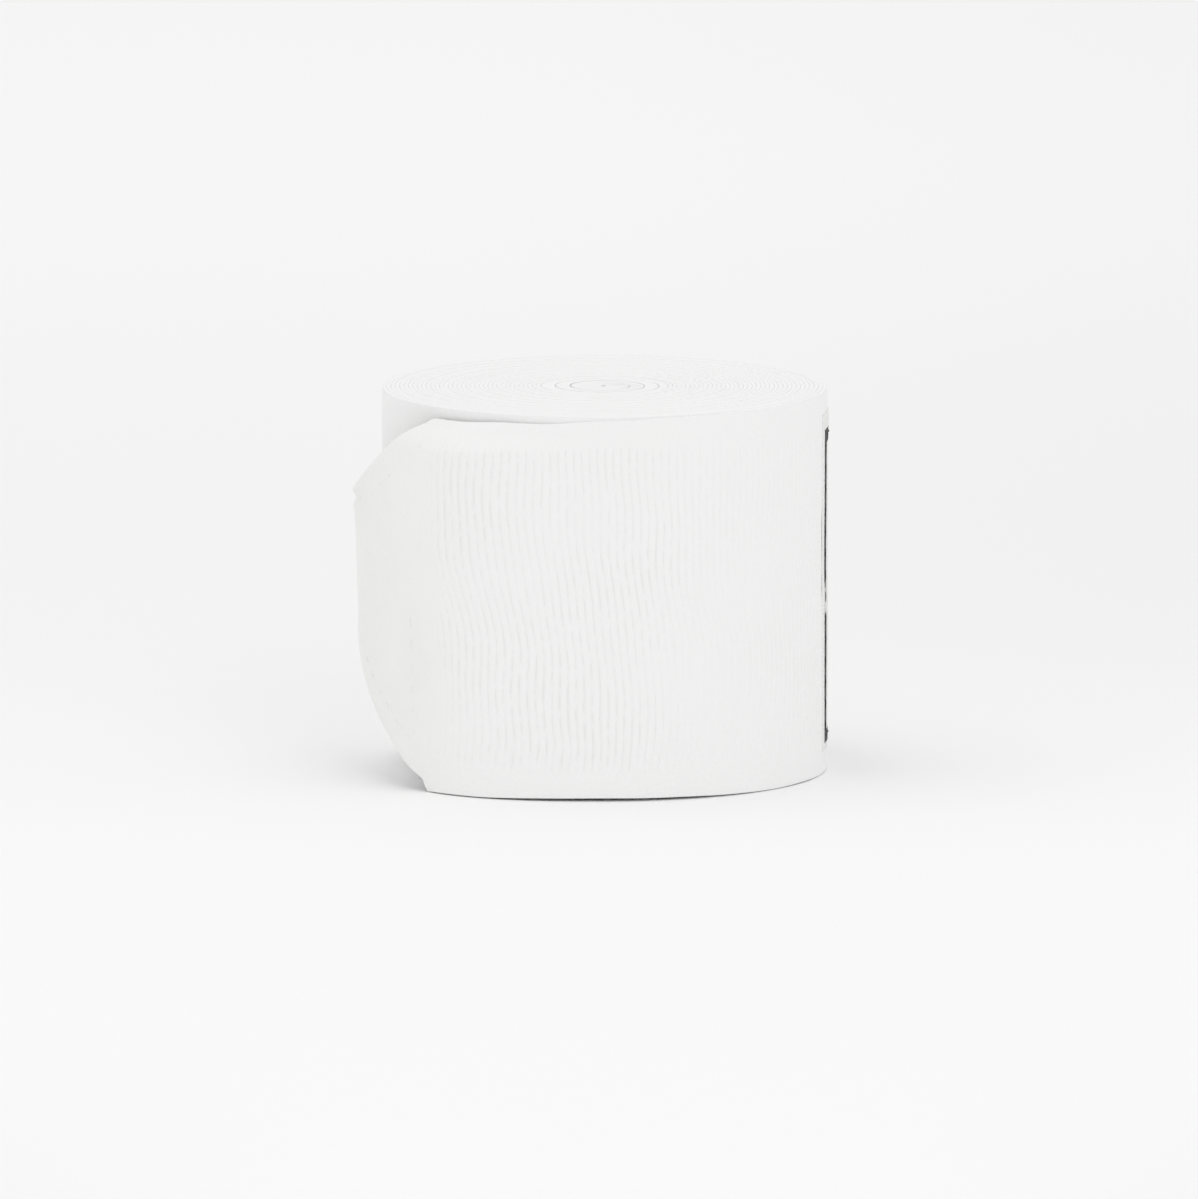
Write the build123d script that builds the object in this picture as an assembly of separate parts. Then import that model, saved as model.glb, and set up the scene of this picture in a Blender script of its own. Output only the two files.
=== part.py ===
"""Boxing hand wrap, rolled up and standing on its edge.

One long cotton band is wound outwards from its thumb-loop end. Its other end is a tapered
closure flap with hook tape under it, which lies on loop tape sewn to the turn beneath.
Millimetres, +Z up, origin on the roll's axis in the plane that it stands on.
Seen from above the band winds clockwise: right, front (-Y), left, back, and out again.
A place on the wound band is its winding angle in degrees from the core end. A place on the
flap is its angle round the axis from the front centre, where the flap leaves the roll.
"""

import os
from math import cos, pi, radians, sin

from build123d import *

# --- driving dimensions -----------------------------------------------------------------
band_width = 50.0  # the standard two inch band
band_thickness = 0.52
turn_gap = 0.05  # air between two tight turns
core_radius = 1.5
loose_half_turns = 7  # half turns at the core, with the flattened thumb loop between them
tight_half_turns = 72

thumb_tape_thickness = 0.5
thumb_tape_width = 20.0
thumb_loop_slit = 0.05  # air inside the flattened loop
thumb_loop_length = 50.0  # flattened, from its sewn end to its fold
bartack_length = 6.0
bartack_rows = 4
thread_thickness = 0.18
thread_width = 0.5
inner_hem_length = 9.0  # the band's core end is turned back on itself this far

hook_tape_thickness = 1.3
loop_tape_thickness = 1.3
hook_tape_height = 44.0
loop_tape_height = 30.0
tape_start = 44.0  # degrees round from the front centre where both tapes begin
tape_length = 37.0
tape_edge = 2.0  # bare band round the hook tape
seam_inset = 2.0  # stitch line, from the edge of a tape or a label
body_clearance = 0.3  # between pieces that move apart
floor_clearance = 0.2  # under the flap

flap_lift_end = 42.0  # degrees round from the front centre where the flap lies level again
flap_joint_angles = (0.3, 18.3, 36.3)
flap_joint_gap = 0.3  # degrees between two flap lengths
flap_edge_drop = 0.6  # how far the flap's top edge lies below the roll's
taper_start = 28.0  # along the cloth, before the left-hand side of the roll
tip_reach = 13.0  # beyond the left-hand side of the roll
tip_height = 27.0
outline_steps = 12  # spans of the tongue's outline where it is drawn inset
path_steps = 6  # spans of a flap length where the flap rises

label_length = 58.0
label_height = 44.0
label_thickness = 0.3
label_lead = 12.5  # degrees that the label's leading edge lies to the front of the right side

# --- the wound path -----------------------------------------------------------------------
thumb_loop_thickness = 2 * thumb_tape_thickness + thumb_loop_slit
tight_pitch = band_thickness + turn_gap
loose_pitch = tight_pitch + thumb_loop_thickness + thread_thickness + 2 * turn_gap
half_turns = loose_half_turns + tight_half_turns
axis_reach = [core_radius]
for half in range(half_turns):
    pitch = loose_pitch if half < loose_half_turns else tight_pitch
    axis_reach.append(axis_reach[-1] + pitch / 2)
# The last half turn runs across the front, and the cut lies in the middle of it.
cut_angle = 180.0 * (half_turns - 1) + 90.0
first_side = 1 if half_turns % 2 else -1
roll_radius = (axis_reach[-1] + axis_reach[-2]) / 2 + band_thickness


def half_turn(index):
    """Centre x and radius of the inner face of one half turn, and the side that it starts on."""
    start_side = first_side * (1 if index % 2 == 0 else -1)
    start, end = axis_reach[index], axis_reach[index + 1]
    return start_side * (start - end) / 2, (start + end) / 2, start_side


def wound_arcs(start, end, offset):
    """Tangent arcs along the winding from angle start to end, offset outwards from its inner face."""
    arcs = []
    while start < end - 1e-6:
        index = int((start + 1e-6) // 180)
        stop = min(end, 180.0 * (index + 1))
        centre_x, radius, side = half_turn(index)
        first = (0 if side > 0 else 180) - (start - 180.0 * index)
        arcs.append(CenterArc((centre_x, 0), radius + offset, first, -(stop - start)))
        start = stop
    return arcs


def wound_strip(start, end, offset, thickness, bottom, height):
    """A strip that follows the winding between two winding angles."""
    inner = wound_arcs(start, end, offset)
    outer = wound_arcs(start, end, offset + thickness)
    ends = [Line(inner[0] @ 0, outer[0] @ 0), Line(inner[-1] @ 1, outer[-1] @ 1)]
    profile = make_face([*inner, *outer, *ends])
    return Pos(0, 0, bottom) * extrude(profile, height, dir=(0, 0, 1))


def winding_span(start, length):
    """The winding angle that lies a length of band on from a winding angle."""
    while length > 0:
        index = int((start + 1e-6) // 180)
        radius = half_turn(index)[1]
        step = min(length, radians(180.0 * (index + 1) - start) * radius)
        start += step / radius * 180 / pi
        length -= step
    return start


# --- the flap's path ------------------------------------------------------------------------
under_radius = roll_radius - tight_pitch
stack_height = loop_tape_thickness + hook_tape_thickness + body_clearance


def flap_radius(angle):
    """Radius of the flap's inner face, degrees round from the front centre.

    It leaves the turn beneath, rises smoothly over the edge of the tapes and then lies level.
    """
    share = min(max(angle / flap_lift_end, 0.0), 1.0)
    rise = share * share * (3 - 2 * share)
    return under_radius + body_clearance + (stack_height - body_clearance) * rise


def flap_strip(start, end, offset, thickness, bottom, height):
    """A strip that follows the flap, offset outwards from the flap's inner face."""

    def edges(extra):
        rising_end, level_start = min(end, flap_lift_end), max(start, flap_lift_end)
        found = []
        if start < rising_end:
            points = []
            for step in range(path_steps + 1):
                angle = start + (rising_end - start) * step / path_steps
                radius, heading = flap_radius(angle) + extra, radians(270 - angle)
                points.append((radius * cos(heading), radius * sin(heading)))
            found.append(Spline(points))
        if level_start < end:
            radius = flap_radius(level_start) + extra
            found.append(CenterArc((0, 0), radius, 270 - level_start, level_start - end))
        return found

    inner, outer = edges(offset), edges(offset + thickness)
    ends = [Line(inner[0] @ 0, outer[0] @ 0), Line(inner[-1] @ 1, outer[-1] @ 1)]
    profile = make_face([*inner, *outer, *ends])
    return Pos(0, 0, bottom) * extrude(profile, height, dir=(0, 0, 1))


level_radius = under_radius + stack_height + band_thickness
tip_angle = 90 + tip_reach / level_radius * 180 / pi


def tongue_outline(inset):
    """The tapered tongue seen from the left, pulled in by inset, as a cutter along X."""

    def place(along, height):
        return (-level_radius * sin(along / level_radius), height)

    low, top = floor_clearance, band_width - flap_edge_drop
    edge_height = top - low
    upper = [(1.0, 1.0), (0.6, 0.89), (0.12, 0.76)]
    lower = [(0.0, 0.315), (0.45, 0.14), (0.76, 0.045), (1.0, 0.0)]
    points = [place(taper_start * a, low + edge_height * h) for a, h in upper]
    points.append(place(-tip_reach, tip_height))
    points += [place(taper_start * a, low + edge_height * h) for a, h in lower]
    edge = Spline(points)
    if inset:
        shares = [step / outline_steps for step in range(outline_steps + 1)]
        inward = [(edge % share).rotate(Axis.Z, -90) * inset for share in shares]
        edge = Spline([edge @ share + shift for share, shift in zip(shares, inward)])
    start, end = edge @ 0, edge @ 1
    back = [(-2 * level_radius, start.Y), (-2 * level_radius, end.Y)]
    sides = [Line(start, back[0]), Line(back[0], back[1]), Line(back[1], end)]
    return extrude(Plane.YZ * make_face([edge, *sides]), 2 * level_radius, dir=(-1, 0, 0))


# --- the band ---------------------------------------------------------------------------
pieces = {}
hem_end = winding_span(0.0, inner_hem_length)
band = wound_strip(0.0, cut_angle, 0.0, band_thickness, 0.0, band_width)
hem = wound_strip(0.0, hem_end, band_thickness, band_thickness, 0.0, band_width)
pieces["wound_band"] = band + hem

flap_height = band_width - flap_edge_drop - floor_clearance
for name, start, end in zip(("flap_base", "flap_middle"), flap_joint_angles, flap_joint_angles[1:]):
    start, end = start + flap_joint_gap / 2, end - flap_joint_gap / 2
    pieces[name] = flap_strip(start, end, 0.0, band_thickness, floor_clearance, flap_height)
tongue_start = flap_joint_angles[2] + flap_joint_gap / 2
past_tip = tip_angle + 10
tongue_sheet = flap_strip(
    tongue_start, past_tip, 0.0, band_thickness, floor_clearance, flap_height
)
pieces["closure_tongue"] = tongue_sheet & tongue_outline(0.0)

# --- the hook tape under the tongue, and the seam that holds it -------------------------------
hook_bottom = (band_width - hook_tape_height) / 2
hook_sheet = flap_strip(
    tape_start, past_tip, -hook_tape_thickness, hook_tape_thickness, hook_bottom, hook_tape_height
)
pieces["hook_tape"] = hook_sheet & tongue_outline(tape_edge)


def hook_seam_sheet(inset):
    """The thread's layer on the tongue's outer face, inside the hook tape's edge by inset."""
    start = tape_start + inset / level_radius * 180 / pi
    height = hook_tape_height - 2 * inset
    sheet = flap_strip(
        start, past_tip, band_thickness, thread_thickness, hook_bottom + inset, height
    )
    return sheet & tongue_outline(tape_edge + inset)


pieces["hook_tape_seam"] = hook_seam_sheet(seam_inset) - hook_seam_sheet(seam_inset + thread_width)

# --- the loop tape on the turn beneath, with its seam sunk in the pile -------------------------
loop_start = cut_angle - 360 + tape_start
loop_end = winding_span(loop_start, tape_length)
loop_bottom = (band_width - loop_tape_height) / 2


def patch_seam(start, end, surface, bottom, height):
    """One thread right round a patch on the winding, sunk into the patch's outer surface."""

    def layer(inset):
        turn = inset / roll_radius * 180 / pi
        return wound_strip(
            start + turn, end - turn, surface - thread_thickness, thread_thickness,
            bottom + inset, height - 2 * inset,
        )

    return layer(seam_inset) - layer(seam_inset + thread_width)


loop_surface = band_thickness + loop_tape_thickness
loop_seam = patch_seam(loop_start, loop_end, loop_surface, loop_bottom, loop_tape_height)
loop_sheet = wound_strip(
    loop_start, loop_end, band_thickness, loop_tape_thickness, loop_bottom, loop_tape_height
)
pieces["loop_tape"] = loop_sheet - loop_seam
pieces["loop_tape_seam"] = loop_seam

# --- the thumb loop at the core, sewn to the band with a bar tack --------------------------
thumb_bottom = (band_width - thumb_tape_width) / 2
thumb_end = winding_span(hem_end, thumb_loop_length)
thumb_inside = band_thickness + turn_gap
thumb_body = wound_strip(
    hem_end, thumb_end, thumb_inside, thumb_loop_thickness, thumb_bottom, thumb_tape_width
)
slit_start = winding_span(hem_end, bartack_length)
slit_end = thumb_end - thumb_tape_thickness / half_turn(loose_half_turns - 2)[1] * 180 / pi
thumb_slit = wound_strip(
    slit_start, slit_end, thumb_inside + thumb_tape_thickness, thumb_loop_slit,
    thumb_bottom, thumb_tape_width,
)
pieces["thumb_loop"] = thumb_body - thumb_slit
tack_rows = []
for row in range(bartack_rows):
    height = thumb_bottom + thumb_tape_width * (row + 0.5) / bartack_rows - thread_width / 2
    tack_rows.append(
        wound_strip(
            hem_end, slit_start, thumb_inside + thumb_loop_thickness, thread_thickness,
            height, thread_width,
        )
    )
pieces["thumb_bartack"] = Compound(tack_rows)

# --- the woven label on the outermost turn ---------------------------------------------------
label_end = cut_angle - 90 + label_lead
label_start = label_end - label_length / (roll_radius - tight_pitch / 2) * 180 / pi
label_bottom = (band_width - label_height) / 2
label_seam = patch_seam(
    label_start, label_end, band_thickness + label_thickness, label_bottom, label_height
)
label_sheet = wound_strip(
    label_start, label_end, band_thickness, label_thickness, label_bottom, label_height
)
pieces["label"] = label_sheet - label_seam
pieces["label_seam"] = label_seam

os.makedirs("parts", exist_ok=True)
for name, piece in pieces.items():
    export_step(piece, f"parts/{name}.step")

band_length = sum(radians(180) * half_turn(index)[1] for index in range(half_turns - 1))
band_length += radians(90) * half_turn(half_turns - 1)[1] + radians(tip_angle) * level_radius
print("roll radius", round(roll_radius, 2), "band length", round(band_length))
for angle in flap_joint_angles:
    radius, heading = flap_radius(angle) + band_thickness, radians(270 - angle)
    print("flap joint", round(radius * cos(heading), 4), round(radius * sin(heading), 4))
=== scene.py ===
"""A boxing hand wrap, rolled up and standing on its edge.

Sizes are millimetres and angles are radians unless a name says otherwise. A place on the
cloth is its turn, the angle round the axis from the front centre, where the closure flap
leaves the roll. It grows to the left, clockwise from above, towards the tip of the tongue,
and falls below zero back along the winding.
"""

from math import atan2, cos, hypot, pi, radians, sin, tau

import bpy
import numpy as np
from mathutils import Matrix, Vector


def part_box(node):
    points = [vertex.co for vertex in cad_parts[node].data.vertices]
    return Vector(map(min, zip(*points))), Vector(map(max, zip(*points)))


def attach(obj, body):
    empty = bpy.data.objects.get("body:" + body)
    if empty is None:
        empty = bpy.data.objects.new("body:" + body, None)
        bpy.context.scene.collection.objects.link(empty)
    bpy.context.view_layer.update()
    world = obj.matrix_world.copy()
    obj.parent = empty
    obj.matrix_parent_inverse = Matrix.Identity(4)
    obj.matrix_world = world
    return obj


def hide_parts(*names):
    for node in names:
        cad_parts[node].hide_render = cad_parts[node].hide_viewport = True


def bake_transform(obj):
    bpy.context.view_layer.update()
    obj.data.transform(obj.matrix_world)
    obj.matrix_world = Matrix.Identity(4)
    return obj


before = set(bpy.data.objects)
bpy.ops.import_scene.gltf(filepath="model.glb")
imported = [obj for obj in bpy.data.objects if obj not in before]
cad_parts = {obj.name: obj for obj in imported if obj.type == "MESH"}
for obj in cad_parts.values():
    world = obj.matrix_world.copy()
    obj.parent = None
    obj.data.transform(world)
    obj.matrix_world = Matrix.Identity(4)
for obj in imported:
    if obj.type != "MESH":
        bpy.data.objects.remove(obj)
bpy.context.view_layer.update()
MM = 0.001

# --- The cloth's path ---------------------------------------------------------------------
# The band is wound as one spiral. The cut in the frame's solids, at turn 0, is only where the
# hinges begin: the cloth itself runs on from the outermost turn into the flap.
band_low, band_high = (np.array(corner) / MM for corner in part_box("wound_band"))
band_width = band_high[2] - band_low[2]
band_thickness = 0.52
turn_pitch = 0.57
loose_pitch = 1.90
loose_turns = 3.5
core_radius = 1.5
cut_radius = -band_low[1] - band_thickness
loose_turn = -(cut_radius - core_radius - loose_turns * loose_pitch) / turn_pitch * tau
core_turn = loose_turn - loose_turns * tau
roll_radius = cut_radius + band_thickness

flap_level_turn = 0.75
flap_level_lift = 2.85
flap_flare = 0.036
flare_height = 27.0
flap_lean = 0.84
lean_from_height, lean_end_turn = 45.0, 0.78
flap_outside = roll_radius + flap_level_lift
tip_reach = 13.0
tip_turn = pi / 2 + tip_reach / flap_outside

slipped_depth = 4.4
rise_at_left = 6.4
rise_at_front = 0.33


def smooth(share):
    share = np.clip(share, 0.0, 1.0)
    return share * share * (3.0 - 2.0 * share)


def wound_radius(turn):
    """Inner face of the winding: it falls by one pitch for each turn back, faster at the core."""
    tight = cut_radius + turn_pitch * np.maximum(turn, loose_turn) / tau
    return tight + loose_pitch * np.minimum(turn - loose_turn, 0.0) / tau


def flap_radius(turn, height):
    """Inner face of the flap: it rises from the roll over the tapes and flares at the top,
    but up to the tapes its upper selvedge leans back on to the roll."""
    level = flap_level_lift + flap_flare * (height - flare_height)
    tuck = smooth((height - lean_from_height) / 3.5) * (1.0 - smooth((turn - lean_end_turn) / 0.3))
    return cut_radius + level * smooth(turn / flap_level_turn) * (1.0 - flap_lean * tuck)


def ride_up(turn, at_left=1.0):
    """How far a turn's lower edge has slipped up: a lot at the left, where the outer turns
    are telescoped, and a little at the front."""
    slip = np.clip((wound_radius(turn) - cut_radius + slipped_depth) / 4.0, 0.0, 1.0)
    left = (turn - pi / 2 + pi) % tau - pi
    front = (turn + pi) % tau - pi
    at_front = rise_at_front * smooth(1.0 - np.abs(front + 0.12) / 0.8)
    return slip * (rise_at_left * at_left * smooth(1.0 - np.abs(left + 0.05)) + at_front)


def place(turn, radius, height):
    """Points in metres from turn, radius and height."""
    return np.stack([-radius * np.sin(turn), -radius * np.cos(turn), height], axis=-1) * MM


def unit(vectors):
    return vectors / np.linalg.norm(vectors, axis=-1, keepdims=True)


# --- The cloth's surface ------------------------------------------------------------------
# Cotton woven with thick and thin yarns across the band, so it has fine ribs from one selvedge
# to the other. The ribs wander where the cloth was pulled off square in winding.
rib_pitch = 1.05
rib_height = 0.12
selvedge = 3.4
selvedge_fade = 1.2
cloth_radius = roll_radius + 0.9
tape_start = 0.66


def wander(along, height):
    """How far the ribs lie off square at a height, in millimetres along the band."""
    lean = 2.7 * smooth((34.0 - height) / 17.0) - 0.6 * smooth((8.0 - height) / 5.0)
    sway = 0.22 * np.sin(height / 4.1 + along / 9.0) + 0.12 * np.sin(height / 1.9 - along / 4.3)
    return lean * (0.8 + 0.2 * np.sin(along / 23.0)) + sway


def rib_strength(along, height):
    """How far the ribs stand out: patchy, fading over the tapes, nothing at the selvedges."""
    patchy = 0.8 + 0.2 * np.sin(along / 6.1 + 1.3 * np.sin(height / 5.0)) * np.sin(height / 7.3)
    from_edge = np.minimum(height, band_width - height)
    inside = smooth((from_edge - selvedge) / selvedge_fade)
    over_tape = 1.0 - 0.75 * smooth((along / cloth_radius - tape_start) / 0.16)
    stretched = 1.0 - 0.4 * smooth((-0.05 - along / cloth_radius) / 0.5)
    return patchy * inside * over_tape * stretched


def ridge(along, height):
    """Ribs as rounded ridges, 1 along their crests and 0 in the narrow valleys."""
    phase = (along + wander(along, height)) / rib_pitch
    return (0.5 + 0.5 * np.cos(tau * phase)) ** 0.5


def slack(along, height):
    """Shallow hollows and swellings of cloth that isn't under an even pull, in millimetres.
    They die out at the selvedges, which lie against the next turn."""
    broad = np.sin(along / 11.0 + height / 17.0) * np.sin(height / 9.0 + along / 31.0)
    fine = np.sin(along / 4.7 - height / 6.0 + 1.0) * np.sin(height / 4.4 + along / 13.0)
    held = smooth(np.minimum(height, band_width - height) / 4.0)
    return (0.07 * broad + 0.025 * fine) * held


def edge_noise(along, seed, size):
    """The uneven line of a soft woven edge: a few sines that never fall into step."""
    waves = [(7.3, 1.0), (3.1, 0.6), (1.7, 0.35), (13.9, 1.2)]
    total = sum(share * np.sin(along / length + seed * (1 + length)) for length, share in waves)
    return size * total / 2.0


def cross_section(rows, edge_steps, inner_rows):
    """A closed ring round the band: fractions of height, edge lift and side (1 out, -1 in)."""
    up = np.linspace(0.0, 1.0, rows)
    down = np.linspace(1.0, 0.0, inner_rows)
    turn = np.linspace(0.0, pi, edge_steps + 2)[1:-1]
    share = np.concatenate([up, np.ones(edge_steps), down, np.zeros(edge_steps)])
    lift = np.concatenate([0 * up, np.sin(turn), 0 * down, -np.sin(turn)])
    side = np.concatenate([0 * up + 1, np.cos(turn), 0 * down - 1, -np.cos(turn)])
    return share, lift, side


def link_grid(columns, ring):
    """Faces of a tube of rings, and the two end rings as caps."""
    first = np.arange(columns - 1)[:, None] * ring
    here = np.arange(ring)[None, :]
    after = (here + 1) % ring
    quads = np.stack([first + here, first + after, first + ring + after, first + ring + here], -1)
    caps = [list(range(ring))[::-1], list(range((columns - 1) * ring, columns * ring))]
    return quads.reshape(-1, 4), caps


def make_piece(name, points, quads, caps, material, uv=None, valley=None, normals=None):
    """A mesh piece: smooth quads and flat caps. It may have a cloth map, the depth of the
    valleys, and the cloth's normal at each vertex, so that lengths which meet end to end look
    whole."""
    mesh = bpy.data.meshes.new(name)
    mesh.from_pydata(points, [], [*quads.tolist(), *caps])
    mesh.polygons.foreach_set("use_smooth", [True] * len(quads) + [False] * len(caps))
    corners = np.zeros(len(mesh.loops), np.int32)
    mesh.loops.foreach_get("vertex_index", corners)
    if uv is not None:
        layer = mesh.uv_layers.new(name="cloth")
        layer.data.foreach_set("uv", uv[corners].astype(np.float32).ravel())
    if valley is not None:
        depth = mesh.attributes.new("valley", "FLOAT", "POINT")
        depth.data.foreach_set("value", valley.astype(np.float32))
    mesh.materials.append(material)
    mesh.update()
    if normals is not None:
        corner_normals = normals[corners]
        for cap in mesh.polygons[-len(caps):]:
            corner_normals[cap.loop_start:cap.loop_start + cap.loop_total] = cap.normal
        mesh.normals_split_custom_set(corner_normals.tolist())
    piece = bpy.data.objects.new(name, mesh)
    bpy.context.collection.objects.link(piece)
    return piece


def make_band(name, turns, low, high, radius, material, rows, inner_rows=2, edge_steps=4,
              thickness=band_thickness, edge=0.24, ribs=True, rim=None):
    """A strip of band: rings of the cross-section at each turn, its faces moved out by the
    ribs. One more ring is worked out past each end, for the normals there."""
    share, lift, side = cross_section(rows, edge_steps, inner_rows)
    beyond = [2 * turns[:1] - turns[1:2], turns, 2 * turns[-1:] - turns[-2:-1]]
    turn = np.concatenate(beyond)[:, None]
    low = np.pad(low, 1, mode="edge")[:, None] + edge
    high = np.pad(high, 1, mode="edge")[:, None] - edge
    height = low + share * (high - low) + lift * edge
    along = cloth_radius * turn + 0 * height
    strength = rib_strength(along, height) if ribs else 0 * height
    crest = ridge(along, height)
    swell = rib_height * (crest - 0.6) * strength * side
    if callable(thickness):
        thickness = thickness(turn, height)
    if rim is not None:
        swell = swell + rim(turn, height) * side
    shift = slack(along, height) if ribs else 0.0
    depth = radius(turn, height) + thickness / 2 * (1 + side) + swell + shift
    points = place(turn + 0 * height, depth, height)
    forward = points[2:] - points[:-2]
    upward = np.roll(points, -1, axis=1)[1:-1] - np.roll(points, 1, axis=1)[1:-1]
    normals = unit(np.cross(upward, forward))
    points, uv = points[1:-1], np.stack([along, height], axis=-1)[1:-1]
    quads, caps = link_grid(len(turns), len(share))
    return make_piece(
        name, points.reshape(-1, 3), quads, caps, material, uv.reshape(-1, 2),
        ((1.0 - crest) * strength)[1:-1].ravel(), normals.reshape(-1, 3),
    )


def stands_for(piece, body, node):
    """Says which body carries a piece, which of the frame's nodes it replaces."""
    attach(piece, body)
    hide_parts(node)


# --- Cotton -------------------------------------------------------------------------------
# Bleached white cotton, matt. Its colour has painted shade, a little warmer and greyer, down in
# the valleys between the ribs and on the flap's left side over the tapes, and blotches of tone at
# random, with the over-and-under of the yarns as a fine bump.
class Value:
    """One output socket, for plain arithmetic: an operator adds the Math node that works it
    out, so that a pattern reads as one formula."""

    def __init__(self, tree, socket):
        self.tree, self.socket = tree, socket

    def node(self, kind, settings=(), output=0, **inputs):
        """A new node with its settings made first; returns the chosen output."""
        made = self.tree.nodes.new(kind)
        for name, setting in dict(settings).items():
            setattr(made, name, setting)
        for name, given in inputs.items():
            slot = made.inputs[int(name[1:]) if name[1:].isdigit() else name.replace("_", " ")]
            if isinstance(given, Value):
                self.tree.links.new(given.socket, slot)
            else:
                slot.default_value = given
        return Value(self.tree, made.outputs[output])

    def math(self, operation, *others, clamp=False):
        inputs = {f"_{index}": given for index, given in enumerate((self, *others))}
        settings = {"operation": operation, "use_clamp": clamp}
        return self.node("ShaderNodeMath", settings, **inputs)

    def __add__(self, other):
        return self.math("ADD", other)

    def __sub__(self, other):
        return self.math("SUBTRACT", other)

    def __rsub__(self, other):
        return (self * -1.0) + other

    def __mul__(self, other):
        return self.math("MULTIPLY", other)

    def __truediv__(self, other):
        return self.math("DIVIDE", other)

    __radd__, __rmul__ = __add__, __mul__

    def step(self, low, high):
        """0 below low, 1 above high, smooth between."""
        settings = {"interpolation_type": "SMOOTHSTEP"}
        return self.node("ShaderNodeMapRange", settings, Value=self, From_Min=low, From_Max=high)

    def noise(self, scale, detail=2.0, roughness=0.5):
        return self.node("ShaderNodeTexNoise", Vector=self, Scale=scale, Detail=detail,
                         Roughness=roughness)

    def mix(self, low, high):
        """Colour low where this is 0 and high where it is 1."""
        settings = {"data_type": "RGBA"}
        return self.node("ShaderNodeMix", settings, output=2, _0=self, _6=low, _7=high)

    def clamped(self):
        return self.math("ADD", 0.0, clamp=True)

    def wave(self, length):
        """A sine that repeats after a length."""
        return (self * (tau / length)).math("SINE")

    def parts(self):
        """The three numbers of a vector."""
        split = self.tree.nodes.new("ShaderNodeSeparateXYZ")
        self.tree.links.new(self.socket, split.inputs[0])
        return [Value(self.tree, socket) for socket in split.outputs]


def new_material(name, roughness, sheen=0.0):
    """A material with its Principled shader, and a Value that starts its formulas."""
    material = bpy.data.materials.new(name)
    material.use_nodes = True
    tree = material.node_tree
    shader = tree.nodes["Principled BSDF"]
    shader.inputs["Roughness"].default_value = roughness
    shader.inputs["Specular IOR Level"].default_value = 0.25
    shader.inputs["Sheen Weight"].default_value = sheen
    shader.inputs["Sheen Roughness"].default_value = 0.6
    return material, shader, Value(tree, None)


def cloth_map(start):
    """The cloth's own map, in millimetres along the band and up it."""
    return start.node("ShaderNodeUVMap", {"uv_map": "cloth"})


def in_place(start):
    """Places on the object in metres."""
    return start.node("ShaderNodeTexCoord", output=3)


def finish_material(shader, colour, height, distance):
    """Joins a colour and a bump height, in metres of distance, to a shader."""
    tree = colour.tree
    bump = height.node("ShaderNodeBump", Height=height, Distance=distance, Strength=1.0)
    tree.links.new(colour.socket, shader.inputs["Base Color"])
    tree.links.new(bump.socket, shader.inputs["Normal"])


cotton_white = (0.90, 0.90, 0.898, 1.0)
# painted shade for the rib valleys, also the colour of the random blotches of tone
cotton_valley_shade_and_mottle = (0.80, 0.796, 0.786, 1.0)
# painted shade, warm and grey, for the flap's left side over the tapes
cotton_painted_shade_over_tape = (0.83, 0.832, 0.79, 1.0)


def make_cotton():
    material, shader, start = new_material("bleached cotton", 0.92, sheen=0.12)
    cloth = cloth_map(start)
    across, up, _ = cloth.parts()
    valley = start.node("ShaderNodeAttribute", {"attribute_name": "valley"}, output=2)
    yarn = across.wave(0.35) * up.wave(0.30)
    fluff = cloth.noise(2.2, 3.0, 0.6)
    cloud = cloth.noise(0.09, 2.0, 0.5)
    drawn = start.node("ShaderNodeCombineXYZ", X=across * 1.2, Y=up * 0.5).noise(1.0, 2.0)
    # painted shade: the valleys between the ribs are greyed and warmed, broken into dashes; cloud
    # and fluff add blotches of tone at random
    dark = (valley * 1.1).step(0.2, 0.9) * drawn.step(0.3, 0.6)
    low = dark * 0.6 + (cloud - 0.5) * 0.25 + (fluff - 0.5) * 0.3
    # painted shade: the flap's left side, over the tapes, is greyed and warmed as if in shade lit
    # by warm bounce light
    over_tape = across.step(cloth_radius * tape_start - 3.0, cloth_radius * tape_start + 9.0)
    painted_warm_shade_over_tape = over_tape * (0.75 + (cloud - 0.5) * 2.0)
    base = low.clamped().mix(cotton_white, cotton_valley_shade_and_mottle)
    colour = (painted_warm_shade_over_tape * 0.42).clamped().mix(base, cotton_painted_shade_over_tape)
    height = yarn * 0.35 + fluff * 0.9
    finish_material(shader, colour, height, 0.00003)
    return material


cotton = make_cotton()

# --- The wound band -----------------------------------------------------------------------
# About four metres of the band, wound tight round its own thumb-loop end. Only the edges of
# its turns show, above and below, so the sides between them are left plain.
wound_end = -tau * 1.03
wound_step = 1.9
hem_turn = 3.4
turn_list = [core_turn]
while turn_list[-1] < wound_end:
    reach = wound_radius(np.array(turn_list[-1])) + band_thickness
    turn_list.append(turn_list[-1] + np.clip(wound_step / reach, tau / 96, tau / 30))
all_turns = np.array(turn_list)
first_tight = int(np.searchsorted(all_turns, loose_turn))


def puffed(turn, height):
    """Thickness of the loose turns: their free edges are slack and swell until they meet.
    The band begins with a hem, its end turned back on itself."""
    near_edge = smooth((np.abs(height - band_width / 2) - 13.0) / 7.0)
    inward = np.clip((loose_turn - turn) / tau, 0.0, 1.0)
    hem = band_thickness * (1.0 - smooth((turn - core_turn - hem_turn) / 0.1))
    swell = near_edge * inward * (loose_pitch - turn_pitch)
    return turn_pitch + np.maximum(swell, hem) + hollow(turn, height)


def hollow(turn, height):
    """How far the innermost turn swells into the hole down the middle, near both edges."""
    near_edge = smooth((np.abs(height - band_width / 2) - 15.0) / 7.0)
    first_turn = 1.0 - smooth((turn - core_turn - tau + 0.22) / 0.2)
    return (wound_radius(turn) - 0.15) * near_edge * first_turn


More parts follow.
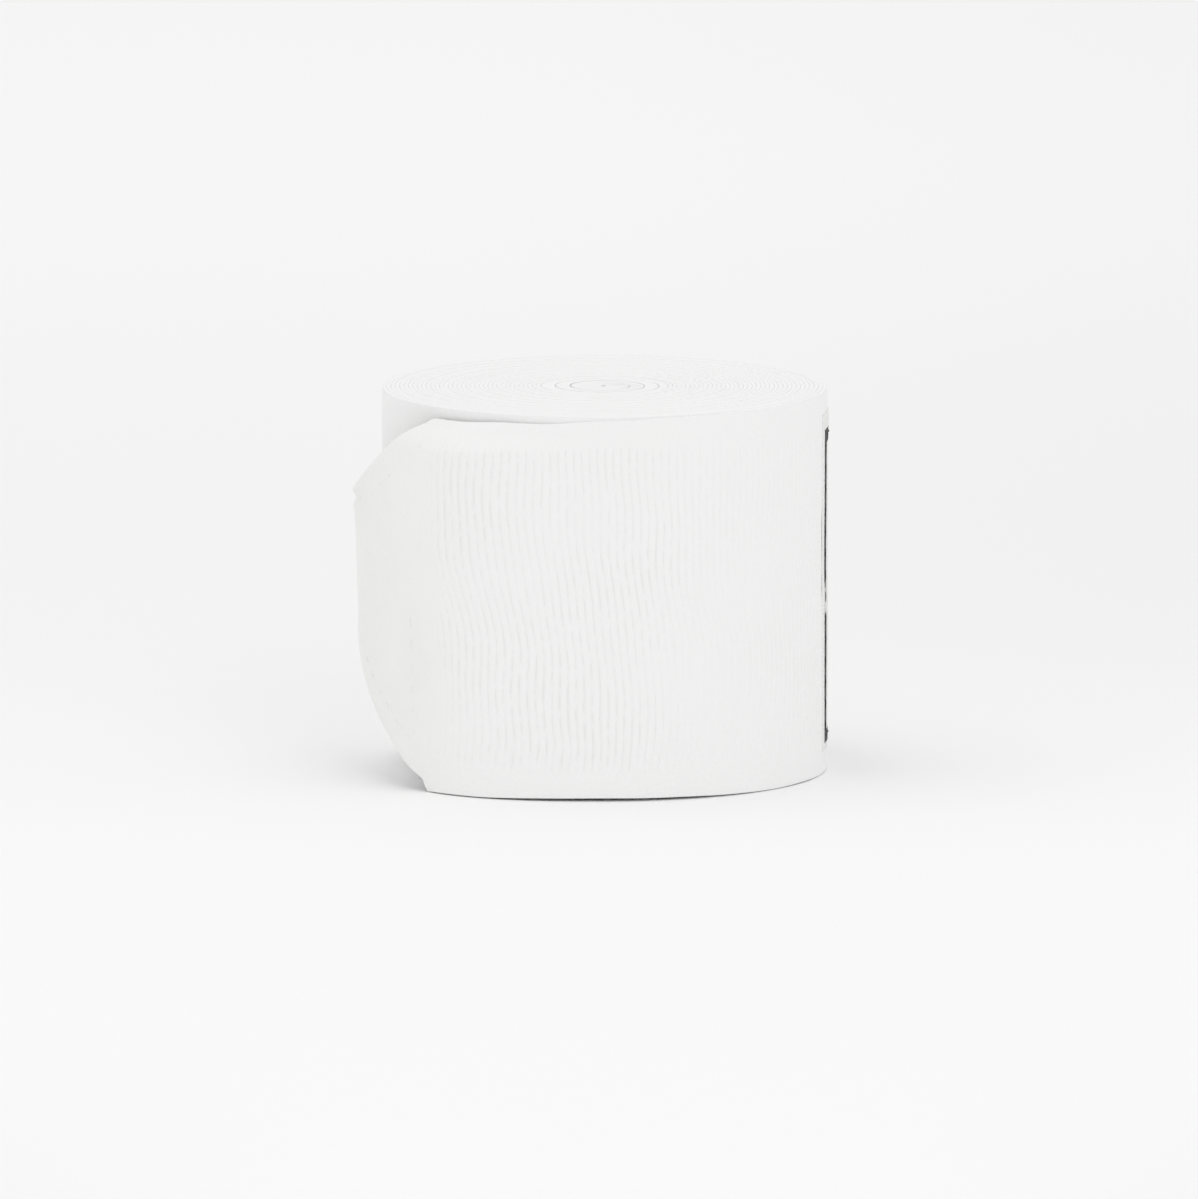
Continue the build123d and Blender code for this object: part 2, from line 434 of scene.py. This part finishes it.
windings = [
    ("wound_turns", all_turns[first_tight:], 2, turn_pitch - 0.001, 0.02),
    ("core_turns", all_turns[:first_tight + 1], 16, puffed, 0.03),
]
for name, turns, rows, thickness, edge in windings:
    along = cloth_radius * turns
    wound_low = 0.05 + edge_noise(along * 0.21, 2.0, 0.03) + ride_up(turns)
    wound_high = band_width - 0.04 + edge_noise(along * 0.13, 5.0, 0.008)
    wound = make_band(
        name, turns, wound_low, wound_high,
        lambda turn, height: wound_radius(turn) - hollow(turn, height), cotton, rows=rows,
        inner_rows=rows, edge_steps=5, thickness=thickness, edge=edge, ribs=False,
    )
    stands_for(wound, "roll", "wound_band")
    length = float(np.sum(np.diff(turns) * wound_radius(turns[1:]))) * MM

# --- The outermost turn -------------------------------------------------------------------
# The turn that everyone sees, with its ribs as real relief. It stops just short of the front
# centre, where the flap's first length takes over.
column = rib_pitch / 6.0 / cloth_radius
flap_root_turn = radians(-12.0)
soft_edge = 0.12


def columns(start, end):
    """Turns that are close enough to draw the ribs, six to a rib."""
    return np.linspace(start, end, max(8, int(round((end - start) / column))))


def top_edge(turn):
    """The cloth's upper edge: level on the roll, then falling a little round the flap."""
    along = cloth_radius * turn
    before_flap = 0.5 * np.clip(1 + turn / 0.7, 0, 1)
    fall = before_flap + 0.5 * smooth(turn / 0.3) + 0.35 * smooth((turn - 0.45) / 0.25)
    return band_width - 0.02 - fall + edge_noise(along, 1.0, 0.03)


def bottom_edge(turn):
    """The cloth's lower edge: level, but slipped up at the left where it lies under the flap."""
    slipped = ride_up(turn, np.where(turn < flap_root_turn, 1.0, 0.0))
    return 0.08 + edge_noise(cloth_radius * turn, 3.0, 0.06) + slipped


turns = columns(-tau * 1.05, flap_root_turn)
outer_turn = make_band(
    "outer_turn", turns, bottom_edge(turns), top_edge(turns),
    lambda turn, height: wound_radius(turn) - turn_pitch + band_thickness + 0 * height, cotton,
    rows=40, thickness=turn_pitch, edge=soft_edge,
)
stands_for(outer_turn, "roll", "wound_band")

# --- The flap -----------------------------------------------------------------------------
# The last of the band, in three short lengths over the three hinges, which meet end to end;
# the frame's flap nodes that they stand for are hidden.
tongue_turn = radians(47.0)
flap_lengths = [
    # name, its turns, the bodies that it bends between, the bend in degrees, the node
    ("flap_root", flap_root_turn, radians(8.5), "roll", "flap_base", (-3.0, 3.6), "flap_base"),
    ("flap_bend", radians(8.5), radians(28.0), "flap_base", "flap_middle", (14.3, 22.3),
     "flap_middle"),
    ("flap_shoulder", radians(28.0), tongue_turn, "flap_middle", "tongue", (32.3, 40.3),
     "closure_tongue"),
]


def flap_surface(turn, height):
    """Inner face of the flap, and of the winding before it."""
    rising = flap_radius(turn, height)
    return np.where(turn > 0, rising, wound_radius(turn) + 0 * height)


for name, first, last, body, next_body, bend_degrees, node in flap_lengths:
    turns = columns(first, last)
    strip = make_band(
        name, turns, bottom_edge(turns), top_edge(turns), flap_surface, cotton,
        rows=40, inner_rows=40, edge=soft_edge,
    )
    start, end = (
        place(np.array(radians(angle)), cut_radius + 0.5, np.array(band_width / 2))
        for angle in bend_degrees
    )
    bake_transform(strip)
    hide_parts(node)
    length = (last - first) * (roll_radius + 1.5) * MM

# --- The tongue ---------------------------------------------------------------------------
# The band's end, cut to a rounded taper. Its rim is folded under and pressed, so it is a
# little thicker than the cloth and curls off the roll at the upper corner.
upper_knots = [(0.66, 48.65), (0.74, 48.75), (0.81, 48.55), (0.909, 47.15), (0.961, 45.9),
               (1.054, 43.9), (1.319, 39.1), (1.415, 37.8), (pi / 2, 36.0), (1.80, 33.4),
               (tip_turn, 31.4)]
lower_knots = [(0.66, 0.10), (0.72, 0.25), (0.80, 0.80), (0.87, 1.85), (0.95, 3.05),
               (1.03, 4.90), (1.112, 6.75), (1.24, 9.6), (1.39, 13.1), (pi / 2, 16.8),
               (1.80, 21.5), (tip_turn, 24.6)]
rim_turn = 0.86
tip_length = 0.26
crease_height = 35.4


def through(knots, at):
    """A smooth curve through knots: cubic spans whose slopes are those of the knots around."""
    x, y = np.array(knots).T
    slope = np.gradient(y, x)
    span = np.clip(np.searchsorted(x, at) - 1, 0, len(x) - 2)
    width = x[span + 1] - x[span]
    t = np.clip((at - x[span]) / width, 0, 1)
    near = (1 + 2 * t) * (1 - t) ** 2 * y[span] + t * (1 - t) ** 2 * width * slope[span]
    far = t * t * (3 - 2 * t) * y[span + 1] + t * t * (t - 1) * width * slope[span + 1]
    return near + far


def tongue_edges(turn):
    """Lower and upper edge of the tongue; they close to a round tip over its last few mm."""
    high, low = through(upper_knots, turn), through(lower_knots, turn)
    blend = smooth((turn - tongue_turn) / 0.04)
    high = top_edge(turn) + (high - top_edge(turn)) * blend
    low = bottom_edge(turn) + (low - bottom_edge(turn)) * blend
    round_start = tip_turn - tip_length
    close = np.sqrt(1 - np.clip((turn - round_start) / (tip_turn - round_start), 0, 1) ** 2)
    middle, half = (high + low) / 2, (high - low) / 2
    half = np.maximum(half * close, 0.3)
    return middle - half, middle + half


def rim_distance(turn, height):
    """How far in from the nearest edge a place on the tongue lies."""
    low, high = tongue_edges(turn)
    side = np.minimum(height - low, high - height) * 0.85
    return np.minimum(side, (tip_turn - turn) * flap_outside)


def tongue_rim(turn, height):
    """Extra thickness of the pressed rim, from the edge to 2 mm in."""
    onset = smooth((turn - rim_turn) / 0.12)
    return 0.10 * onset * (1 - smooth((rim_distance(turn, height) - 1.2) / 0.9))


def tongue_surface(turn, height):
    """The flap's path, with the rim curling off the roll, most at the upper corner, where a
    short crease runs in from the edge."""
    near_edge = 1 - smooth(rim_distance(turn, height) / 5.0)
    onset = smooth((turn - rim_turn) / 0.2)
    upper = smooth((height - 20.0) / 20.0)
    curl = onset * near_edge * (0.03 + 0.14 * upper)
    off_crease = height - crease_height - 4.0 * (pi / 2 - turn)
    crease = 0.5 * np.exp(-((off_crease / 0.6) ** 2)) * smooth((turn - 1.2) / 0.3)
    return flap_radius(turn, height) + curl - crease


body_turns = columns(tongue_turn, tip_turn - 0.05)
tip_turns = tip_turn - 0.05 * np.cos(np.linspace(0, pi / 2, 16))[1:]
turns = np.concatenate([body_turns, tip_turns])
low, high = tongue_edges(turns)
tongue = make_band(
    "tongue_cloth", turns, low, high, tongue_surface, cotton, rows=48, inner_rows=48,
    rim=tongue_rim, edge=soft_edge,
)
stands_for(tongue, "tongue", "closure_tongue")
tongue_area = float(np.sum((high - low)[1:] * np.diff(turns))) * flap_outside * MM * MM


# --- Sewing thread ------------------------------------------------------------------------
# Every patch is lockstitched round its edge. A stitch is a short bead of thread that dips into
# the cloth at both ends.
def make_thread(name, colour):
    material, shader, start = new_material(name, 0.75, sheen=0.05)
    twist = in_place(start).noise(2600.0, 1.0)
    dark = tuple(channel * 0.86 for channel in colour) + (1.0,)
    finish_material(shader, twist.step(0.3, 0.7).mix(dark, (*colour, 1.0)), twist, 0.00004)
    return material


white_thread = make_thread("white thread", (0.88, 0.878, 0.865))
black_thread = make_thread("black thread", (0.022, 0.022, 0.024))


def tube(path, first, second, sides, width):
    """Rings of points round each point of a path, from two directions square to it."""
    angle = (np.arange(sides) * tau / sides)[:, None]
    ring = np.cos(angle) * first[..., None, :] + np.sin(angle) * second[..., None, :]
    return path[..., None, :] + width * ring


def stitch_row(turn_line, height_line, radius_line, length=2.3, gap=0.5, thick=0.15):
    """Beads along a line on the cloth, as an array (bead, ring, side, 3). The line is sampled
    finely, and each bead is a five-ringed tube of six sides that sinks at its ends."""
    line = place(turn_line, radius_line, height_line)
    run = np.concatenate([[0], np.cumsum(np.linalg.norm(np.diff(line, axis=0), axis=1))]) / MM
    count = max(1, int(run[-1] // (length + gap)))
    starts = (np.arange(count) + 0.5) * run[-1] / count - length / 2
    steps = np.linspace(0, 1, 5)
    at = starts[:, None] + length * steps
    sink = thick * (1.1 - 1.5 * np.sin(pi * steps) ** 0.6)
    turn, height, radius = (
        np.interp(at, run, values) for values in (turn_line, height_line, radius_line)
    )
    centre = place(turn, radius - sink, height)
    forward = unit(np.gradient(centre, axis=1))
    outward = np.stack([-np.sin(turn), -np.cos(turn), 0 * turn], axis=-1)
    sideways = np.cross(forward, outward)
    outward = np.cross(sideways, forward)
    width = thick * np.array([0.45, 0.9, 1.0, 0.9, 0.45])[None, :, None, None] * MM
    return tube(centre, sideways, outward, 6, width)


def beads_to_piece(name, rows, material):
    """Joins rows of tubes, each an array (tube, ring, side, 3), into one piece. The sides run
    clockwise round the path, so they are turned over to face outwards."""
    beads = np.concatenate(rows)[:, :, ::-1]
    count, rings, sides = beads.shape[:3]
    quads, caps = link_grid(rings, sides)
    offset = np.arange(count)[:, None, None] * rings * sides
    all_caps = (np.array(caps)[None] + offset).reshape(-1, sides).tolist()
    all_quads = (quads[None] + offset).reshape(-1, 4)
    return make_piece(name, beads.reshape(-1, 3), all_quads, all_caps, material)


def around(line_turn, line_height, surface):
    """A stitch row along a line given by its turn and height, on a surface."""
    return stitch_row(line_turn, line_height, surface(line_turn, line_height))


# --- The hook tape ------------------------------------------------------------------------
# Moulded nylon hooks on a woven backing, cut to the tongue's own shape. It is sewn inside the
# tongue's rim with its hooks inwards, so only its line of stitches shows when it is closed.
hook_start = radians(48.0)
hook_inset = 2.3
hook_lowest, hook_highest = 3.0, 47.0
backing = 0.45
hook_wire = 0.085
hook_across, hook_up = 1.25, 1.15
hook_profile = np.array([(-0.05, 0.0), (0.45, 0.0), (0.68, 0.08), (0.78, 0.26), (0.68, 0.42),
                         (0.50, 0.44)])


def make_nylon(name, colour, scale):
    material, shader, start = new_material(name, 0.6)
    grain = in_place(start).noise(scale, 2.0)
    dark = tuple(channel * 0.9 for channel in colour) + (1.0,)
    finish_material(shader, grain.step(0.3, 0.7).mix(dark, (*colour, 1.0)), grain, 0.00005)
    return material


hook_nylon = make_nylon("hook nylon", (0.84, 0.84, 0.82), 900.0)


def hook_edges(turn):
    """Lower and upper edge of the hook tape, inside the tongue's rim; they never cross."""
    low, high = tongue_edges(turn)
    low, high = low + hook_inset, high - hook_inset
    return np.minimum(low, (low + high) / 2 - 0.3), np.maximum(high, (low + high) / 2 + 0.3)


def hook_face(turn, height):
    """Outer face of the hook tape's backing, against the tongue's inner face."""
    return tongue_surface(turn, height) - backing - 0.02


turns = np.linspace(hook_start, tip_turn - 0.08, 90)
low, high = hook_edges(turns)
hook_backing = make_band(
    "hook_tape_backing", turns, np.maximum(low, hook_lowest), np.minimum(high, hook_highest),
    hook_face, hook_nylon, rows=30, inner_rows=30, thickness=backing, edge=0.15, ribs=False,
)
stands_for(hook_backing, "tongue", "hook_tape")

# Each hook is a bent wire; those in a row turn to one side and the other by turns.
grid_turn, grid_height = np.meshgrid(
    np.arange(hook_start + 0.03, tip_turn - 0.1, hook_across / flap_outside),
    np.arange(hook_lowest + 0.8, hook_highest - 0.5, hook_up),
)
low, high = hook_edges(grid_turn)
inside = (grid_height > low + 0.9) & (grid_height < high - 0.9)
hook_turn, hook_height = grid_turn[inside], grid_height[inside]
facing = np.where(np.arange(len(hook_turn)) % 2, 1.0, -1.0)[:, None]
reach, swing = hook_profile.T
path_turn = hook_turn[:, None] + facing * swing / flap_outside
path_radius = hook_face(hook_turn, hook_height)[:, None] - reach
path = place(path_turn, path_radius, hook_height[:, None] + 0 * reach)
forward = unit(np.gradient(path, axis=1))
upright = np.array([0.0, 0.0, 1.0]) + 0 * forward
wires = tube(path, np.cross(forward, upright), upright, 4, hook_wire * MM)
hooks = beads_to_piece("hook_tape_hooks", [wires], hook_nylon)
stands_for(hooks, "tongue", "hook_tape")

# Its seam shows on the tongue's outer face as a line of small sunk stitches.
seam_inset = 1.6
seam_turn = np.linspace(hook_start + 2.0 / flap_outside, tip_turn - 0.16, 300)
low, high = hook_edges(seam_turn)
low = np.maximum(low, hook_lowest) + seam_inset
high = np.minimum(high, hook_highest) - seam_inset
open_part = high - low > 0.5
seam_turn, low, high = seam_turn[open_part], low[open_part], high[open_part]
rise = np.linspace(0, 1, 120)
outline = [
    (seam_turn, low),
    (0 * rise + seam_turn[-1], low[-1] + (high[-1] - low[-1]) * rise),
    (seam_turn[::-1], high[::-1]),
    (0 * rise + seam_turn[0], high[0] + (low[0] - high[0]) * rise),
]
rows = [
    stitch_row(turn, height, tongue_surface(turn, height) + band_thickness - 0.07, thick=0.1)
    for turn, height in outline
]
hook_seam = beads_to_piece("hook_tape_stitches", rows, white_thread)
stands_for(hook_seam, "tongue", "hook_tape_seam")

# --- The loop tape ------------------------------------------------------------------------
# Brushed nylon pile on a knitted ground, cut as a plain rectangle. It is sewn by all four
# sides to the turn beneath the tongue, where the hooks catch.
loop_low, loop_high = (np.array(corner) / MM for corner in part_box("loop_tape"))
loop_start = radians(44.0) - tau
loop_length = 37.0
loop_end = loop_start + loop_length / roll_radius
loop_base = 0.5
pile_height = 0.75
pile_pitch = 0.85
pile_wire = 0.045
loop_nylon = make_nylon("loop pile nylon", (0.86, 0.858, 0.845), 1500.0)


def under_face(turn, height):
    """Outer face of the turn that the loop tape is sewn to."""
    return wound_radius(turn) + band_thickness + 0 * height


def knitted_face(turn, height):
    """The loop tape's knitted ground: small bumps along and across."""
    return under_face(turn, height) + 0.03 + 0.05 * np.sin(turn * 200) * np.sin(height * 5)


turns = np.linspace(loop_start, loop_end, 120)
loop_backing = make_band(
    "loop_tape_backing", turns, loop_low[2] + 0 * turns, loop_high[2] + 0 * turns, knitted_face,
    loop_nylon, rows=60, thickness=loop_base, edge=0.2, ribs=False,
)
stands_for(loop_backing, "roll", "loop_tape")

# Each loop of the pile is a half ring of yarn, at random in heading, spread and height.
random = np.random.default_rng(7)
grid_turn, grid_height = np.meshgrid(
    np.arange(loop_start + 0.02, loop_end - 0.02, pile_pitch / roll_radius),
    np.arange(loop_low[2] + 0.6, loop_high[2] - 0.5, pile_pitch),
)
loop_turn = grid_turn.ravel() + random.normal(0, 0.25 / roll_radius, grid_turn.size)
loop_height = grid_height.ravel() + random.normal(0, 0.25, grid_turn.size)
heading = random.uniform(0, tau, len(loop_turn))[:, None]
arc = np.linspace(0, pi, 7)
spread = random.uniform(0.3, 0.55, len(loop_turn))[:, None] * -np.cos(arc)
lift = random.uniform(0.6, 1.0, len(loop_turn))[:, None] * pile_height * np.sin(arc)
path_turn = loop_turn[:, None] + spread * np.cos(heading) / roll_radius
path_height = loop_height[:, None] + spread * np.sin(heading)
path = place(path_turn, under_face(path_turn, path_height) + loop_base + lift - 0.03, path_height)
forward = unit(np.gradient(path, axis=1))
flat = unit(place(path_turn + pi / 2, np.cos(heading), 0 * path_height + np.sin(heading)))
side = np.cross(forward, flat)
side /= np.maximum(np.linalg.norm(side, axis=-1, keepdims=True), 1e-9)
yarns = tube(path, side, np.cross(side, forward), 3, pile_wire * MM)
pile = beads_to_piece("loop_tape_pile", [yarns], loop_nylon)
stands_for(pile, "roll", "loop_tape")


def patch_seam(turn_low, turn_high, low, high, inset, surface, radius):
    """Stitch rows along the four sides of a patch, inset from its edge."""
    turn_low, turn_high = turn_low + inset / radius, turn_high - inset / radius
    low, high = low + inset, high - inset
    share = np.linspace(0, 1, 400)
    sides = [
        (turn_low + (turn_high - turn_low) * share, low + 0 * share),
        (turn_high + 0 * share, low + (high - low) * share),
        (turn_high + (turn_low - turn_high) * share, high + 0 * share),
        (turn_low + 0 * share, high + (low - high) * share),
    ]
    return [around(turn, height, surface) for turn, height in sides]


loop_rows = patch_seam(
    loop_start, loop_end, loop_low[2], loop_high[2], seam_inset,
    lambda turn, height: under_face(turn, height) + loop_base + 0.35, roll_radius,
)
loop_seam = beads_to_piece("loop_tape_stitches", loop_rows, white_thread)
stands_for(loop_seam, "roll", "loop_tape_seam")

# --- The label ----------------------------------------------------------------------------
# A woven satin patch, white with a plain black border that is worn at one spot. It is sewn
# with black thread to the outermost turn at the right.
label_low, label_high = (np.array(corner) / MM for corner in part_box("label"))
right_side = radians(-90.0)
label_lead = right_side + radians(12.5)
label_length = 58.0
label_end = label_lead - label_length / roll_radius
label_thickness = 0.2
border_drop = 1.1
worn_height = 22.6
label_white = (0.86, 0.858, 0.85, 1.0), (0.89, 0.888, 0.88, 1.0)
label_black = (0.018, 0.018, 0.02, 1.0), (0.04, 0.04, 0.042, 1.0)


def outer_face(turn, height):
    """Outer face of the outermost turn, over the crests of its ribs."""
    along = cloth_radius * turn + 0 * height
    return wound_radius(turn) + band_thickness + slack(along, height) - 0.03


def make_label_cloth(lead, length, low, high):
    """Satin weave, with the border drawn a set distance in from the edges. It is worn pale at
    one spot of its leading side."""
    material, shader, start = new_material("woven label", 0.55)
    cloth = cloth_map(start)
    across, up, _ = cloth.parts()
    ragged = (cloth.noise(1.9, 2.0) - 0.5) * 0.5
    first, last = cloth_radius * (lead - length / roll_radius), cloth_radius * lead
    inset = (across - first).math("MINIMUM", last - across)
    inset = inset.math("MINIMUM", up - low).math("MINIMUM", high - border_drop - up) + ragged
    from_rub = (up - worn_height).math("ABSOLUTE") + (cloth.noise(0.9, 3.0) - 0.5) * 5.0
    worn = (1.0 - from_rub.step(0.6, 3.0)) * across.step(last - 7.0, last - 5.0)
    border = inset.step(0.85, 1.05) * (1.0 - inset.step(2.6, 2.8)) * (1.0 - worn * 0.8)
    satin = across.wave(0.22) * 0.5 + up.wave(0.5)
    speck = cloth.noise(5.0, 2.0).step(0.3, 0.7)
    colour = border.mix(speck.mix(*label_white), speck.mix(*label_black))
    finish_material(shader, colour, satin, 0.00003)
    return material


label_cloth = make_label_cloth(label_lead, label_length, label_low[2], label_high[2])
turns = np.linspace(label_end, label_lead, 260)
label = make_band(
    "label_patch", turns, label_low[2] + 0 * turns, label_high[2] + 0 * turns, outer_face,
    label_cloth, rows=60, thickness=label_thickness, edge=0.08, ribs=False,
)
stands_for(label, "roll", "label")

label_rows = patch_seam(
    label_end, label_lead, label_low[2], label_high[2] - border_drop, 1.8,
    lambda turn, height: outer_face(turn, height) + label_thickness - 0.08, roll_radius,
)
label_seam = beads_to_piece("label_stitches", label_rows, black_thread)
stands_for(label_seam, "roll", "label_seam")

# --- The thumb loop -----------------------------------------------------------------------
# A narrow cotton tape folded double and sewn to the band's inner end with a bar tack. Rolled
# up, it lies flat between the loose turns at the core.
thumb_low, thumb_high = (np.array(corner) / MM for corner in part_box("thumb_loop"))
thumb_thickness = 0.47
thumb_gap = 0.12
thumb_start = core_turn + 4.0
thumb_end = core_turn + 14.0
turns = np.linspace(thumb_start, thumb_end, 220)
for layer, name in enumerate(("thumb_loop_inner", "thumb_loop_outer")):
    tape = make_band(
        name, turns, thumb_low[2] + 0 * turns, thumb_high[2] + 0 * turns,
        lambda turn, height, layer=layer: wound_radius(turn) + band_thickness + thumb_gap
        + layer * (thumb_thickness + 0.06) + 0 * height,
        cotton, rows=14, inner_rows=6, thickness=thumb_thickness, edge=0.2, ribs=False,
    )
    stands_for(tape, "roll", "thumb_loop")
    length = float(np.sum(np.diff(turns) * (wound_radius(turns[1:]) + 0.9))) * MM


def tack_face(turn, height):
    """Outer face of the two plies, where the bar tack's stitches lie."""
    return wound_radius(turn) + band_thickness + thumb_gap + 2 * thumb_thickness + 0.1


tack_heights = np.linspace(thumb_low[2] + 2.0, thumb_high[2] - 2.0, 9)
tack_turns = np.linspace(thumb_start + 0.2, thumb_start + 2.0, 60)
rows = [around(tack_turns, height + 0 * tack_turns, tack_face) for height in tack_heights]
tack = beads_to_piece("thumb_loop_bar_tack", rows, white_thread)
stands_for(tack, "roll", "thumb_bartack")


# --- Floor, backdrop and lamps ------------------------------------------------------------
# A pale sheet of paper under the roll, with painted shade that greys it behind the roll, to its
# right and at the near corners, and two soft lamps in an even white room.
floor_size = 6.0
paper_white = (0.95, 0.95, 0.95, 1.0)
paper_painted_shade = (0.892, 0.892, 0.892, 1.0)
room_light = 0.915


def make_floor():
    size = floor_size
    mesh = bpy.data.meshes.new("floor")
    mesh.from_pydata(
        [(-size, -size, 0), (size, -size, 0), (size, size, 0), (-size, size, 0)], [],
        [(0, 1, 2, 3)],
    )
    floor = bpy.data.objects.new("floor", mesh)
    bpy.context.collection.objects.link(floor)
    material, shader, start = new_material("pale floor", 0.9)
    across, back, _ = in_place(start).parts()
    # painted shade: the paper greys behind the roll, to its right and at the near corners, where
    # less light falls
    behind = back.step(-0.08, 0.16) * (1.0 - back.step(0.2, 0.6))
    right = across.step(-0.03, 0.14) * back.step(-0.1, 0.2)
    corner = across.math("ABSOLUTE").step(0.03, 0.1) * (1.0 - back.step(-0.4, -0.2))
    painted_floor_shade = behind * 0.75 + right * 0.4 + corner * 0.7
    level = painted_floor_shade.mix(paper_white, paper_painted_shade)
    material.node_tree.links.new(level.socket, shader.inputs["Base Color"])
    mesh.materials.append(material)


make_floor()
world = bpy.data.worlds.new("studio")
world.use_nodes = True
background = world.node_tree.nodes["Background"]
background.inputs["Color"].default_value = (1.0, 1.0, 1.0, 1.0)
background.inputs["Strength"].default_value = room_light
bpy.context.scene.world = world


def add_softbox(name, position, size, power):
    """A square area lamp aimed at the middle of the roll."""
    lamp = bpy.data.lights.new(name, "AREA")
    lamp.shape, lamp.size, lamp.energy = "SQUARE", size, power
    holder = bpy.data.objects.new(name, lamp)
    bpy.context.collection.objects.link(holder)
    holder.location = position
    x, y, z = position
    rise = atan2(z - band_width / 2 * MM, hypot(x, y))
    holder.rotation_euler = (pi / 2 - rise, 0.0, atan2(x, -y))


add_softbox("front", (0.55, -1.5, 1.1), 0.8, 2.6)
add_softbox("overhead", (-0.5, 0.1, 1.2), 0.8, 0.9)

# --- Camera -------------------------------------------------------------------------------
# A long lens a good way off, a little above the roll and square to its front. The frame is
# about two and a half times as wide as the roll.
elevation = radians(8.58)
camera_distance = 5000.0
view_width = 155.2
aim = np.array([-0.58, 0.0, 21.98])

camera_data = bpy.data.cameras.new("camera")
camera_data.sensor_width = 36.0
camera_data.lens = camera_data.sensor_width * camera_distance / view_width
camera_data.clip_start = 0.1
camera_data.clip_end = 20.0
camera = bpy.data.objects.new("camera", camera_data)
bpy.context.collection.objects.link(camera)
backwards = np.array([0.0, -cos(elevation), sin(elevation)])
camera.location = (aim + camera_distance * backwards) * MM
camera.rotation_euler = (pi / 2 - elevation, 0.0, 0.0)
bpy.context.scene.camera = camera
bpy.context.scene.view_settings.view_transform = "Standard"
